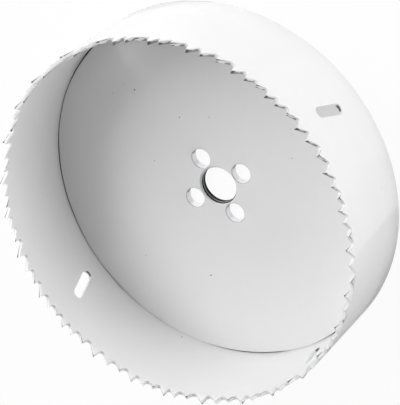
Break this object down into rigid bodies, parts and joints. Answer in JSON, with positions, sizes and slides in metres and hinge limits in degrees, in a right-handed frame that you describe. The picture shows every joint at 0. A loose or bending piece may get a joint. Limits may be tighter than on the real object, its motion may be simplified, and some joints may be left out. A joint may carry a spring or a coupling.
{
  "type": "hole saw",
  "caption": "Cup-shaped hole saw with a rim of set teeth, a thick backing plate, a threaded arbor bore, drive pin holes and slanted slots in the wall.",
  "frame": {"origin": "centre of the arbor bore on the back face of the backing plate, the face that the saw stands on", "axes": "+Z along the cutting axis, from the back face to the tooth tips; +X through one drive pin hole and the butt weld of the strip"},
  "size_m": [0.146, 0.146, 0.0419],
  "materials": {
    "wall_paint": "gloss white enamel over the rolled steel strip and its teeth",
    "plate_paint": "white enamel, slightly duller, over the steel plate"
  },
  "bodies": {
    "root": {"saw_wall": "wall_paint", "backing_plate": "plate_paint"}
  },
  "joints": []
}
